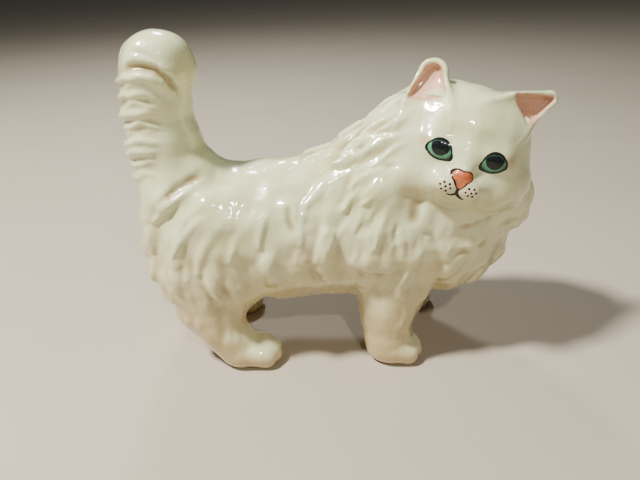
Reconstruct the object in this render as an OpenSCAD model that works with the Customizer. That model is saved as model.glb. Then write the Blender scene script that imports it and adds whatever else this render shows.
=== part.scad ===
// Standing long-haired cat figurine in glazed earthenware, tail erect, head turned to its right.
// The cat faces +X, its left side is +Y, it stands on z = 0, and the origin is under its middle.
// Each cast piece has its own solid. Legs, tail, head and ears seat in sockets of the piece they join.

/* [Stance] */
// Distance between the hind and the front foot of the right side
stance_length = 59; // [52:1:72]
// Distance between the left and the right feet
stance_width = 38; // [34:1:44]
// How far the left front foot stands ahead of the right one
front_stride = 11; // [0:1:14]
// How far the left hind foot stands behind the right one
rear_stride = 11; // [0:1:14]
// Distance from the origin back to the middle of the right hind foot
rear_foot_back = 36; // [30:1:44]

/* [Body] */
// Height of the back above the table
back_height = 80; // [70:1:96]
// Height of the belly above the table
belly_height = 22; // [18:1:28]
// Width of the barrel across the flanks
barrel_width = 50; // [42:1:60]
// Width across the hind quarters
rump_width = 52; // [44:1:62]
// Width across the chest
chest_width = 51; // [43:1:61]
// How far the rump stands out behind the right hind foot
rump_overhang = 41; // [36:1:48]
// How far the breast stands out ahead of the right front foot
breast_overhang = 44; // [36:1:50]
// Thickness of the cast shell
wall = 3.5; // [2.5:0.5:5]
// Diameter of the vent hole in the belly
vent_d = 6; // [4:0.5:9]

/* [Legs] */
// Width of a front leg above the paw
front_leg_w = 20; // [16:1:24]
// Width of a hind leg above the paw
rear_leg_w = 19; // [15:1:23]
// Length of a front paw
front_paw_l = 24; // [20:1:29]
// Length of a hind paw
rear_paw_l = 27; // [22:1:32]
// Width of a paw
paw_w = 18; // [14:1:21]
// Height of a paw
paw_h = 12; // [10:1:15]
// How far a leg reaches up into the body
leg_seat = 9; // [6:1:12]

/* [Tail] */
// Height of the tail's round end above the table
tail_height = 127; // [108:1:152]
// Diameter of the round end
tail_end_d = 27.5; // [22:0.5:33]
// Diameter of the narrowest part
tail_neck_d = 22; // [18:0.5:27]
// Diameter where the tail leaves the rump
tail_root_d = 30; // [25:0.5:36]
// Depth of the tail's root in the body
tail_seat = 13; // [8:1:18]

/* [Head] */
// Height of the middle of the head above the table
head_height = 88; // [80:1:105]
// Distance from the origin forward to the middle of the head
head_forward = 46; // [40:1:54]
// How far the head is set over to the cat's right
head_side = 8; // [4:1:12]
// Width of the skull
skull_w = 44; // [35:1:50]
// Width across the cheek fur
cheek_w = 56; // [45:1:62]
// Height of the head from the crown to the chin
face_h = 41; // [35:1:48]
// How far the nose stands out from the middle of the head
muzzle_reach = 22.5; // [19:0.5:26]
// Turn of the face from square to the body, towards the tail
head_turn = 10; // [0:1:20]
// Upward tilt of the face
head_lift = 14; // [0:1:20]
// Sideways tilt of the head
head_tilt = 14; // [0:1:20]

/* [Ears] */
// Length of an ear from the skull to its tip
ear_l = 14.5; // [10:1:18]
// Width of an ear at its root
ear_w = 17; // [13:0.5:20]
// Distance between the middles of the ear roots
ear_spacing = 32; // [28:1:38]
// Distance of the ear roots ahead of the middle of the head
ear_forward = 3; // [0:0.5:5]
// Outward lean of the right ear
right_ear_splay = 5; // [0:1:45]
// Outward lean of the left ear
left_ear_splay = 50; // [0:1:55]
// Width of the white rim round the hollow of an ear
ear_rim = 1.6; // [1.2:0.1:2.5]

/* [Face enamel] */
// Distance between the middles of the eyes
eye_spacing = 18.4; // [16:0.2:22]
// Distance of the eyes below the middle of the head
eye_drop = 3.4; // [1:0.2:6]
// Width of an eye from corner to corner
eye_w = 10.4; // [8:0.2:12.4]
// Height of an eye
eye_h = 8; // [6.6:0.2:9.6]
// Width of the dark rim round an eye
eye_rim_w = 0.8; // [0.5:0.1:1]
// Diameter of a pupil
pupil_d = 5.4; // [4:0.2:6]
// Distance of the nose below the middle of the head
nose_drop = 11.6; // [9:0.2:14]
// Width of the nose
nose_w = 6.6; // [5:0.2:8]
// Height of the nose
nose_h = 5; // [4:0.2:6]
// Width of the line round the nose and along the mouth
line_w = 0.7; // [0.5:0.1:1]
// Diameter of a whisker dot
dot_d = 0.8; // [0.6:0.1:1]
// Distance between whisker dots along a row
dot_pitch = 1.8; // [1.4:0.1:2.2]
// Thickness of the enamel
enamel = 0.3; // [0.2:0.1:0.5]

/* [Hidden] */

// Facets on what shows, on small features, and on what lies inside
show_fn = 28;
small_fn = 20;
core_fn = 16;
round_fn = 30;

// Sides of the cat, as a sign along Y. On the turned head they are signs along its own X.
RIGHT = -1;
LEFT = 1;

// The head looks over the right side, so the mid-plane of the body lies this far to the left
nose_reach = (muzzle_reach * cos(head_lift) + nose_drop * sin(head_lift)) * cos(head_turn);
spine_y = (head_side + nose_reach - stance_width / 2 - paw_w / 2) / 2;

// Feet, in the cat's own frame with its mid-plane at y = 0
rear_x = -rear_foot_back;
front_x = rear_x + stance_length;
foot_y = stance_width / 2;

// Trunk: eggs along the spine, each [middle, half sizes]
barrel_z = (back_height + belly_height) / 2;
barrel_rz = (back_height - belly_height) / 2;
rump_rx = 26;
rump_egg = [[rear_x - rump_overhang + rump_rx, 0, barrel_z + 1], [rump_rx, rump_width / 2 - 3, barrel_rz - 1.5]];
loin_egg = [[rear_x + 14, 0, barrel_z - 1], [22, barrel_width / 2, barrel_rz]];
chest_egg = [[front_x - 4, 0, barrel_z + 1], [24, chest_width / 2, barrel_rz]];
breast_rx = 24;
breast_x = front_x + breast_overhang - breast_rx;
breast_egg = [[breast_x, -1, barrel_z], [breast_rx, chest_width / 2 - 3, barrel_rz - 2]];

// Head middle. The head's own axes have the face looking along -Y and its left towards +X.
head_middle = [head_forward, -head_side, head_height];

// Ruff: from the breast up round the throat, and from the withers up the nape
throat_egg = [head_middle + [-1, 4, -19], [29, 22, 19]];
withers_egg = [[front_x - 13, 0, back_height - 19], [20, chest_width / 2 - 4, 21]];
nape_egg = [head_middle + [-13, 6, -1], [19, 18, 18]];

// Tail
tail_x = rump_egg[0][0] - 9;
tail_z = back_height - tail_seat;
tail_top = tail_height - tail_end_d / 2;
tail_steps = 8;

// Skull and muzzle in the head's own axes
skull_r = [skull_w / 2, 19, face_h * 0.45];
crown_z = face_h / 2 - skull_r[2];
cheek_r = [14, 14, 13];
cheek_p = [cheek_w / 2 - cheek_r[0], 1, -9];
eye_p = [eye_spacing / 2, -10, -eye_drop];

// --- Solids shared by the pieces ---

// An ellipsoid with its middle at p and half sizes r
module egg(p, r, fn = show_fn) {
  translate(p) scale(r) sphere(1, $fn = fn);
}

// Two eggs joined by a smooth skin
module limb(a, b, grow = 0, fn = show_fn) {
  hull() {
    egg(a[0], a[1] + [grow, grow, grow], fn);
    egg(b[0], b[1] + [grow, grow, grow], fn);
  }
}

// Children are moved from the cat's own frame to the part's
module placed() {
  translate([0, spine_y, 0]) children();
}

// Outer form of the trunk, with haunches, shoulders and the ruff that rises to the head
module trunk_form() {
  limb(rump_egg, loin_egg);
  limb(loin_egg, chest_egg);
  limb(chest_egg, breast_egg);
  limb(breast_egg, throat_egg);
  limb(chest_egg, throat_egg);
  limb(withers_egg, nape_egg);
  limb(nape_egg, throat_egg);
  for (side = [RIGHT, LEFT]) {
    haunch_x = rear_x - (side == LEFT ? rear_stride / 2 : 0) - 11;
    limb([[haunch_x, side * (foot_y - 3), belly_height + 16], [22, rump_width / 2 - foot_y + 3, 18]],
         [[haunch_x + 4, side * 12, barrel_z + 6], [20, rump_width / 2 - 13, 18]]);
    shoulder_x = front_x + (side == LEFT ? front_stride : 0);
    limb([[shoulder_x, side * (foot_y - 3), belly_height + 12], [15, chest_width / 2 - foot_y + 3, 14]],
         [[shoulder_x + 1, side * 12, barrel_z + 6], [18, chest_width / 2 - 13, 18]]);
  }
}

// Hollow of the trunk, up into the neck. Haunches and shoulders stay thick where the legs seat.
module trunk_core() {
  limb(rump_egg, loin_egg, -wall, core_fn);
  limb(loin_egg, chest_egg, -wall, core_fn);
  limb(chest_egg, breast_egg, -wall, core_fn);
  limb(chest_egg, throat_egg, -wall, core_fn);
  limb(withers_egg, nape_egg, -wall, core_fn);
}

// A leg: a column that leans into the body, and a paw ahead of it, cut flat to stand
module leg_form(foot, column_w, paw_l, lean) {
  heel_x = foot[0] - paw_l / 2 + column_w / 2;
  difference() {
    union() {
      limb([[heel_x, foot[1], paw_h * 0.55], [column_w / 2, paw_w / 2, paw_h * 0.75]],
           [[heel_x + lean, foot[1] * 0.9, belly_height + leg_seat - 9], [column_w / 2 + 2, column_w / 2, 9]]);
      limb([[heel_x + 2, foot[1], paw_h * 0.42], [paw_w / 2 - 1, paw_w / 2 - 0.5, paw_h * 0.54]],
           [[foot[0] + paw_l / 2 - paw_w / 2, foot[1], paw_h * 0.42], [paw_w / 2, paw_w / 2 + 0.2, paw_h * 0.58]]);
    }
    translate([foot[0] - 2 * paw_l, foot[1] - 2 * paw_w, -paw_h]) cube([4 * paw_l, 4 * paw_w, paw_h]);
  }
}

module front_right_form() {
  leg_form([front_x, -foot_y], front_leg_w, front_paw_l, -1);
}

module front_left_form() {
  leg_form([front_x + front_stride, foot_y], front_leg_w, front_paw_l, -3);
}

module rear_right_form() {
  leg_form([rear_x, -foot_y], rear_leg_w, rear_paw_l, -11);
}

module rear_left_form() {
  leg_form([rear_x - rear_stride, foot_y], rear_leg_w, rear_paw_l, -8);
}

// Middle and half sizes of the tail at t, from 0 at the root to 1 at the round end
function tail_d(t) = lookup(t, [[0, tail_root_d], [0.5, tail_neck_d], [0.75, tail_neck_d + 1], [1, tail_end_d]]);
function tail_egg(t) =
  let (r = tail_d(t) / 2)
  [[tail_x - 3 * sin(t * 180) + 1 - t, 0, tail_z + (tail_top - tail_z) * t], [r, r * 0.92, r]];

module tail_form(grow = 0, fn = show_fn) {
  for (i = [1:tail_steps]) {
    limb(tail_egg((i - 1) / tail_steps), tail_egg(i / tail_steps), grow, fn);
  }
}

// Children are placed in the head's own axes
module in_head() {
  translate(head_middle) rotate([-head_lift, head_tilt, -head_turn]) children();
}

// Outer form of the head in its own axes
module head_form(grow = 0) {
  skull = [[0, 2, crown_z], skull_r];
  for (side = [RIGHT, LEFT]) {
    limb(skull, [[side * cheek_p[0], cheek_p[1], cheek_p[2]], cheek_r], grow);
    // Eye on its socket
    limb([[side * eye_p[0], eye_p[1], eye_p[2]], [7, 7.6, 6]], [[side * 8, -4, -2], [10, 10, 10]], grow, small_fn);
    // Whisker pad
    limb([[side * 3.8, 4.8 - muzzle_reach, -nose_drop - 3.6], [4.6, 4, 3.6]],
         [[side * 9, -6, -nose_drop], [9, 9, 8]], grow, small_fn);
  }
  // Bridge and nose
  limb([[0, 3.4 - muzzle_reach, -nose_drop + 0.4], [3.9, 3.2, 3.4]], [[0, -6, 4], [9, 9.5, 9]], grow, small_fn);
  // Chin
  limb([[0, 6.5 - muzzle_reach, 3 - face_h / 2], [4.6, 4, 3.4]], [[0, -4, -10], [12, 10, 11]], grow, small_fn);
}

// Hollow of the head
module head_core() {
  limb([[0, 3, crown_z], skull_r], [[0, 2, -9], [cheek_p[0] + 8, 13, 12]], -wall, core_fn);
}

// Children are placed at the root of an ear, with the ear along +Z and its hollow facing -Y
module at_ear(side) {
  splay = side == LEFT ? left_ear_splay : right_ear_splay;
  translate([side * ear_spacing / 2, -ear_forward, face_h * 0.26]) rotate([-6, side * splay, side * 14]) children();
}

// Outer form of an ear
module ear_form() {
  middle = [[0, 0, ear_l * 0.45], [ear_w * 0.41, 2.7, 3.4]];
  limb([[0, 0.5, -3], [ear_w / 2, 4.2, 5]], middle, 0, small_fn);
  limb(middle, [[0, 0.6, ear_l - 3], [3.4, 1.6, 3]], 0, small_fn);
}

// Space in front of an ear that leaves its hollow
module ear_hollow(grow = 0) {
  middle = [[0, -2.6, ear_l * 0.45 - 1], [ear_w * 0.41 - ear_rim, 2.6, 3.2]];
  limb([[0, -3, -4], [ear_w / 2 - ear_rim, 3.4, 4.6]], middle, grow, small_fn);
  limb(middle, [[0, -1.6, ear_l - 3.2 - ear_rim], [2.4, 1.6, 2.2]], grow, small_fn);
}

// A cast ear, its hollow ending where it meets the skull
module ear_piece(side) {
  in_head() difference() {
    at_ear(side) ear_form();
    difference() {
      at_ear(side) ear_hollow();
      head_form();
    }
  }
}

// The colour that lines an ear
module ear_lining(side) {
  in_head() difference() {
    intersection() {
      at_ear(side) ear_form();
      at_ear(side) ear_hollow();
    }
    at_ear(side) ear_hollow(-enamel);
    head_form();
  }
}

// A layer of enamel on the face inside a flat outline drawn in X and Z
module enamel_patch() {
  in_head() difference() {
    intersection() {
      head_form(enamel);
      rotate([90, 0, 0]) linear_extrude(height = 2 * muzzle_reach) children();
    }
    head_form();
  }
}

// Outline of an eye, round above with its corners drawn out and down, shrunk by inset
module eye_outline(side, inset = 0) {
  translate([side * eye_p[0], eye_p[2]]) offset(delta = -inset) hull() {
    rotate(4) circle(d = eye_h, $fn = round_fn);
    translate([side * (eye_w / 2 - 0.5), 0.6]) circle(0.5, $fn = 12);
    translate([-side * (eye_w / 2 - 0.5), -eye_h * 0.36]) circle(0.5, $fn = 12);
  }
}

module pupil_outline(side) {
  intersection() {
    eye_outline(side, eye_rim_w);
    translate([side * (eye_p[0] - 0.1), eye_p[2] + 0.8]) rotate(7) circle(d = pupil_d, $fn = round_fn);
  }
}

module nose_outline(grow = 0) {
  corner = 1.1;
  offset(delta = grow) hull() {
    for (side = [RIGHT, LEFT]) {
      translate([side * (nose_w / 2 - corner), nose_h / 2 - corner - nose_drop]) circle(corner, $fn = core_fn);
    }
    translate([0, corner * 0.7 - nose_h / 2 - nose_drop]) circle(corner * 0.7, $fn = core_fn);
  }
}

// A stroke of the brush between two points
module stroke(a, b) {
  hull() {
    translate(a) circle(d = line_w, $fn = 12);
    translate(b) circle(d = line_w, $fn = 12);
  }
}

// Outline round the nose, line down to the lip, and the two sides of the mouth
module nose_mouth_outline() {
  lip_z = -nose_drop - nose_h / 2 - 1.7;
  difference() {
    nose_outline(line_w / 2);
    nose_outline();
  }
  difference() {
    stroke([0, lip_z], [0, -nose_drop]);
    nose_outline(line_w / 4);
  }
  for (side = [RIGHT, LEFT]) {
    stroke([0, lip_z], [side * 1.4, lip_z - 0.9]);
    stroke([side * 1.4, lip_z - 0.9], [side * 3.2, lip_z - 1.1]);
  }
}

// Seven whisker dots: rows of two, three and two
module dots_outline(side) {
  for (row = [-1, 0, 1], i = [0:(row == 0 ? 2 : 1)]) {
    x = 3.1 + dot_pitch * (i + (row == 0 ? 0 : 0.35));
    z = -nose_drop - 3.2 - row * dot_pitch * 0.6;
    translate([side * x, z]) circle(d = dot_d, $fn = 12);
  }
}

// --- Pieces ---

module torso() {
  color("ivory") placed() difference() {
    trunk_form();
    trunk_core();
    front_right_form();
    front_left_form();
    rear_right_form();
    rear_left_form();
    tail_form();
    in_head() head_form();
    in_head() at_ear(RIGHT) ear_form();
    in_head() at_ear(LEFT) ear_form();
    translate([(rear_x + front_x) / 2, 0, 0]) cylinder(h = barrel_z, d = vent_d, $fn = core_fn);
  }
}

module head() {
  color("ivory") placed() difference() {
    in_head() head_form();
    in_head() head_core();
    trunk_core();
    for (side = [RIGHT, LEFT]) {
      in_head() at_ear(side) ear_form();
    }
  }
}

module tail() {
  color("ivory") placed() difference() {
    tail_form();
    tail_form(-wall, core_fn);
    trunk_core();
  }
}

module front_right_leg() {
  color("ivory") placed() front_right_form();
}

module front_left_leg() {
  color("ivory") placed() front_left_form();
}

module rear_right_leg() {
  color("ivory") placed() rear_right_form();
}

module rear_left_leg() {
  color("ivory") placed() rear_left_form();
}

module right_ear() {
  color("ivory") placed() ear_piece(RIGHT);
}

module left_ear() {
  color("ivory") placed() ear_piece(LEFT);
}

module right_inner_ear() {
  color("darksalmon") placed() ear_lining(RIGHT);
}

module left_inner_ear() {
  color("darksalmon") placed() ear_lining(LEFT);
}

module eye_rim(side) {
  color("black") placed() enamel_patch() difference() {
    eye_outline(side);
    eye_outline(side, eye_rim_w);
  }
}

module iris(side) {
  color("mediumaquamarine") placed() enamel_patch() difference() {
    eye_outline(side, eye_rim_w);
    pupil_outline(side);
  }
}

module pupil(side) {
  color("black") placed() enamel_patch() pupil_outline(side);
}

module nose() {
  color("coral") placed() enamel_patch() nose_outline();
}

module nose_mouth_line() {
  color("saddlebrown") placed() enamel_patch() nose_mouth_outline();
}

module whisker_dots(side) {
  color("black") placed() enamel_patch() dots_outline(side);
}

torso();
head();
tail();
front_right_leg();
front_left_leg();
rear_right_leg();
rear_left_leg();
right_ear();
left_ear();
right_inner_ear();
left_inner_ear();
eye_rim(RIGHT);  // right_eye_rim
eye_rim(LEFT);  // left_eye_rim
iris(RIGHT);  // right_iris
iris(LEFT);  // left_iris
pupil(RIGHT);  // right_pupil
pupil(LEFT);  // left_pupil
nose();
nose_mouth_line();
whisker_dots(RIGHT);  // right_whisker_dots
whisker_dots(LEFT);  // left_whisker_dots
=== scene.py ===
"""Glazed earthenware figurine of a long-haired cat: the looks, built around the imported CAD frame.

All shape work is in millimetres in the cat's own frame, which has its mid-plane at y = 0.
"""
import math
from itertools import product

import bpy
import numpy as np
import openvdb as vdb
from mathutils import Matrix, Vector
from mathutils.bvhtree import BVHTree
from mathutils.kdtree import KDTree


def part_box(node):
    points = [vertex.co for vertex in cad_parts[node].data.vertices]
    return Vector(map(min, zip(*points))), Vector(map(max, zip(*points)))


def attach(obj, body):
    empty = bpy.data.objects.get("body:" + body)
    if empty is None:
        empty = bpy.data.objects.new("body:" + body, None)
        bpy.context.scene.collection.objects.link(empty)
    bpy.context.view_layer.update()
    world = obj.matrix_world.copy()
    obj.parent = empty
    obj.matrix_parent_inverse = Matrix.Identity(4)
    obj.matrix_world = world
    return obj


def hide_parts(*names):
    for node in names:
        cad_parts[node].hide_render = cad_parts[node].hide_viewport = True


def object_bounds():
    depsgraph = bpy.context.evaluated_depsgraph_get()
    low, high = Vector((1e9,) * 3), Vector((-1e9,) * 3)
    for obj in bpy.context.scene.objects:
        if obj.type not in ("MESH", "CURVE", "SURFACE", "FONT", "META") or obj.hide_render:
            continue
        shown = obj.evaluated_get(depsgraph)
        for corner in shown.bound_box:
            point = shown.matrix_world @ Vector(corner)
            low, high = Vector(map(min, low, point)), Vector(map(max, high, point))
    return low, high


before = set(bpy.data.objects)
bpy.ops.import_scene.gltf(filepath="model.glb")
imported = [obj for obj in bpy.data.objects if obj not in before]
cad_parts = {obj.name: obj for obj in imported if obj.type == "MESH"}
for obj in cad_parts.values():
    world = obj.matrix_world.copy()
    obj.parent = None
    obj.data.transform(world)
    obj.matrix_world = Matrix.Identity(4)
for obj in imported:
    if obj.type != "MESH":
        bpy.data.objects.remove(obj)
cad_box = [list(map(float, corner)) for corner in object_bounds()]
rng = np.random.default_rng(7)
MM = 0.001

# ---------------------------------------------------------------- landmarks from the CAD frame


def node_box(name):
    """Lowest and highest corner of a CAD node in mm, in the part's frame"""
    lo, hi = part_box(name)
    return np.array(lo) / MM, np.array(hi) / MM


def node_middle(name):
    lo, hi = node_box(name)
    return (lo + hi) / 2


SPINE = np.array([0.0, node_middle("tail")[1], 0.0])   # the cat's mid-plane
TORSO_LO, TORSO_HI = (corner - SPINE for corner in node_box("torso"))
TAIL_LO, TAIL_HI = (corner - SPINE for corner in node_box("tail"))
BACK = 80.0
BELLY = 22.0
MID_Z = (BACK + BELLY) / 2
HALF_Z = (BACK - BELLY) / 2


def foot(name, paw_l):
    """Middle of a sole: the paw's tip is the front of the leg's box"""
    lo, hi = node_box(name)
    side = -1 if name.endswith("right_leg") else 1
    edge = lo[1] if side < 0 else hi[1]
    return np.array([hi[0] - paw_l / 2, edge - side * 9.2 - SPINE[1], 0.0])


FRONT_PAW, REAR_PAW = 24.0, 27.0
FEET = {
    "front_right_leg": foot("front_right_leg", FRONT_PAW),
    "front_left_leg": foot("front_left_leg", FRONT_PAW),
    "rear_right_leg": foot("rear_right_leg", REAR_PAW),
    "rear_left_leg": foot("rear_left_leg", REAR_PAW),
}

# The head's own axes: its face looks along -Y, its left is +X. Turned, lifted and tilted.
TURN, LIFT, TILT = (math.radians(a) for a in (10, 14, 14))
HEAD_AXES = np.array(Matrix.Rotation(-TURN, 3, "Z") @ Matrix.Rotation(TILT, 3, "Y")
                     @ Matrix.Rotation(-LIFT, 3, "X"))
PUPILS = (node_middle("right_pupil") + node_middle("left_pupil")) / 2 - SPINE
HEAD = PUPILS - HEAD_AXES @ np.array([0.0, -17.2, -2.6])


def to_head(points):
    return (points - HEAD) @ HEAD_AXES


def from_head(points):
    return np.asarray(points, float) @ HEAD_AXES.T + HEAD


# ---------------------------------------------------------------- distance fields

FAR = 20.0     # distance given to points that are too far from a limb to matter
MARGIN = 15.0  # how far from a limb points still matter


def smin(a, b, k):
    """Smaller of two distances, rounded over a width k"""
    h = np.maximum(k - np.abs(a - b), 0.0) / k
    return np.minimum(a, b) - h * h * k * 0.25


def smax(a, b, k):
    return -smin(-a, -b, k)


def ramp(x, lo, hi):
    """0 below lo, 1 above hi, smooth between"""
    t = np.clip((x - lo) / (hi - lo), 0.0, 1.0)
    return t * t * (3 - 2 * t)


def limb(a, ra, b=None, rb=None):
    """An egg, or two eggs joined by a skin: middles and half sizes"""
    a, ra = np.array(a, float), np.array(ra, float)
    b = a if b is None else np.array(b, float)
    rb = ra if rb is None else np.array(rb, float)
    return a, ra, b, rb


def limb_distance(p, part):
    a, ra, b, rb = part
    mean = (ra + rb) / 2
    along = (b - a) / mean
    size = float(along @ along)
    t = np.clip((((p - a) / mean) @ along) / size, 0, 1) if size > 1e-9 else np.zeros(len(p))
    q = p - a - t[:, None] * (b - a)
    r = ra + t[:, None] * (rb - ra)
    k0 = np.sqrt(((q / r) ** 2).sum(1))
    k1 = np.sqrt(((q / (r * r)) ** 2).sum(1))
    return k0 * (k0 - 1) / np.maximum(k1, 1e-6)


def blend(points, parts, k):
    """Smooth union of limbs"""
    d = np.full(len(points), FAR)
    for part in parts:
        a, ra, b, rb = part
        lo = np.minimum(a - ra, b - rb) - MARGIN
        hi = np.maximum(a + ra, b + rb) + MARGIN
        near = np.nonzero(((points > lo) & (points < hi)).all(1))[0]
        if len(near):
            d[near] = smin(d[near], limb_distance(points[near], part), k)
    return d


def trunk_limbs():
    """Rump, barrel, chest and breast, the ruff up to the head, haunches and shoulders"""
    rear_x = FEET["rear_right_leg"][0]
    front_x = FEET["front_right_leg"][0]
    rump = [TORSO_LO[0] + 26.5, 0, MID_Z + 1], [24.2, 22.4, HALF_Z - 1.8]
    loin = [rear_x + 14, 0, MID_Z - 1], [22, 24.4, HALF_Z - 0.4]
    chest = [front_x - 4, 0, MID_Z + 1], [24, 25, HALF_Z - 0.4]
    breast = [front_x + 19.5, -1, MID_Z], [24, 22, HALF_Z - 2]
    throat = HEAD + [-1, 5, -20.2], [28.2, 19.4, 17.6]
    withers = [front_x - 17, 0, BACK - 17.5], [21, 21, 21]
    nape = HEAD + [-13, 6, -1], [18.4, 17.6, 17.6]
    parts = [limb(*rump, *loin), limb(*loin, *chest), limb(*chest, *breast), limb(*breast, *throat),
             limb(*chest, *throat), limb(*withers, *nape), limb(*nape, *throat),
             limb([rear_x + 4, 0, BACK - 22], [20, 21, 20.5], *withers)]
    for side in (-1, 1):
        right = side < 0
        hx = rear_x - 11 - (0 if right else 5.5)
        parts.append(limb([hx, side * 16, BELLY + 16], [21.4, 9.6, 17.4],
                          [hx + 4, side * 12, MID_Z + 6], [19.4, 12.4, 17.4]))
        sx = front_x + (0 if right else 11)
        parts.append(limb([sx, side * 16, BELLY + 12], [14.4, 9, 13.4],
                          [sx + 1, side * 12, MID_Z + 6], [17.4, 12, 17.4]))
    return parts


def flank_y(x, z, side):
    """Where the flank's skin lies at x, z"""
    ys = np.linspace(34, 4, 61) * side
    line = np.stack([np.full(61, x), ys, np.full(61, z)], 1)
    inside = blend(line, TRUNK, 3.0) < 0
    return ys[inside.argmax()] if inside.any() else side * 12.0


def lobe(side, x0, z0, r0, x1, z1, r1, sink):
    """A heavy lock on a flank from its root to its tip, with part of its thickness sunk in"""
    ya = flank_y(x0, z0, side) - side * sink * r0
    yb = flank_y(x1, z1, side) - side * sink * r1
    return limb([x0, ya, z0], [r0, r0 * 0.8, r0], [x1, yb, z1], [r1, r1 * 0.8, r1])


# Heavy locks on the wavy edge of the rump and the breast: each end's middle and half sizes
EDGE_LOCKS = [
    (-62, 13, 70.5, 5, 5, 4, -69.6, 8, 62, 4, 4.5, 3.5),
    (-67, 11, 56, 4, 5, 4.6, -70.4, 8, 48.5, 3.9, 5, 4.2),
    (-66, 12, 45, 4, 5, 4.6, -68.8, 10, 38.5, 3.8, 5, 3.8),
    (-62, 13, 38, 4, 5, 4.6, -65.4, 12, 30.5, 3.8, 5, 3.6),
    (-57, 15, 32, 4, 4, 4.6, -59, 15, 24.5, 4, 4.4, 3.6), (58, 11, 81, 5, 5, 5, 66.4, 7, 74, 3.6, 5, 4.4),
    (61, 12, 67, 5, 5, 5, 68, 8, 58.5, 4.4, 5, 4.6), (58, 9, 74, 6, 6, 6, 66.8, 6, 68, 4.6, 5, 5),
    (66.8, 6, 68, 4.6, 5, 5, 66.8, 7, 59, 4.4, 5, 5), (56, 12, 55, 5, 5, 5, 62, 9, 46, 4, 5, 4),
    (48, 12, 44, 5, 5, 5, 52.5, 9, 34.5, 4, 5, 4)]
# Heavy locks on a flank, such as the shoulder tuft and its drips: at the root and at the tip x, z and
# half width, and how much of the thickness is sunk in
FLANK_LOCKS = [
    (-50, 75, 4.6, -62, 67, 4.2, 0.75), (-46, 68, 4.6, -57, 56, 4.4, 0.85),
    (-56, 48, 3.6, -55, 37, 3.4, 0.7), (23, 77, 7.6, 16, 73, 7.6, 0.4), (14, 70, 6, 8, 61, 4.8, 0.62),
    (20, 69, 5.6, 17, 60, 4.2, 0.56), (26, 69, 4.4, 25, 56, 3.2, 0.66), (4, 60, 2.2, 7.4, 49.5, 3, 0.25),
    (11, 58, 2.2, 14, 46.5, 3, 0.2), (17, 56, 2.1, 18.6, 47.5, 2.9, 0.2),
    (23, 56, 2.1, 24.4, 50.5, 2.8, 0.3), (-17, 68, 3.2, -15, 59, 3.2, 0.4),
    (-10, 60, 2.2, -10.5, 51, 2.8, 0.4), (-4, 59, 1.8, -4.2, 52, 2.4, 0.4), (-30, 62, 5, -33, 53, 4.6, 0.6),
    (-24, 49, 3.4, -25, 42, 3.2, 0.55), (33, 70, 4.6, 31, 65, 4.4, 0.72), (42, 67, 4.6, 38, 60, 4.4, 0.7),
    (53, 70, 4.8, 48, 63, 4.8, 0.72), (35, 54, 5.4, 27, 50, 4.6, 0.66), (50, 56, 5.4, 42, 48, 4.8, 0.72)]


def hem_lobes():
    parts = []
    for side in (-1, 1):
        flip = np.array([1, side, 1])
        for row in np.array(EDGE_LOCKS, float).reshape(-1, 4, 3):
            parts.append(limb(row[0] * flip, row[1], row[2] * flip, row[3]))
        parts += [lobe(side, *row) for row in FLANK_LOCKS]
    return parts


def leg_limbs(name):
    """A column that leans into the body, and a paw ahead of it with four toes"""
    middle = FEET[name]
    front = name.startswith("front")
    paw_l = FRONT_PAW if front else REAR_PAW
    width = 20.0 if front else 19.0
    lean = {"front_right_leg": -1, "front_left_leg": -3, "rear_right_leg": -11, "rear_left_leg": -8}[name]
    x, y = middle[0], middle[1]
    heel = x - paw_l / 2 + width / 2
    tip = x + paw_l / 2
    parts = [limb([heel, y, 6.6], [width / 2 - 0.6, 8.4, 8.4],
                  [heel + lean, y * 0.9, BELLY], [width / 2 + 1.4, width / 2 - 0.6, 9]),
             limb([heel + 2, y, 5.0], [7.6, 8, 6.2], [tip - 9, y, 5.0], [8.4, 8.4, 6.4])]
    for spread in (-5.6, -1.9, 1.9, 5.6):
        reach = tip - 3.4 - 0.09 * spread * spread
        parts.append(limb([reach - 5, y + spread * 0.9, 5.6], [4, 2.6, 3.6],
                          [reach, y + spread, 3.6], [3.2, 2.5, 3.4]))
    return parts


def tail_limbs():
    """A plume that rises from the rump to a smooth round end, with a lip under the end"""
    x0 = (TAIL_LO[0] + TAIL_HI[0]) / 2
    top = TAIL_HI[2] + 0.6
    root_z = TAIL_LO[2] + 8
    stations = [  # height, half width, how far the middle lies behind the tail's box middle
        (root_z, 15.6, -2.4), (root_z + 10, 14.8, 0.2), (root_z + 21, 13.4, 2.0), (root_z + 31, 11.9, 2.6),
        (root_z + 39, 11.9, 2.0), (top - 13.8, 12.4, 0.4)]
    eggs = [([x0 - back, 0, z], [r, min(r * 0.92, 12.4), r]) for z, r, back in stations]
    parts = [limb(*eggs[i], *eggs[i + 1]) for i in range(len(eggs) - 1)]
    parts.append(limb([x0 - 0.1, 0, top - 12.9], [13.2, 12.4, 12.9]))
    return parts


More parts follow.
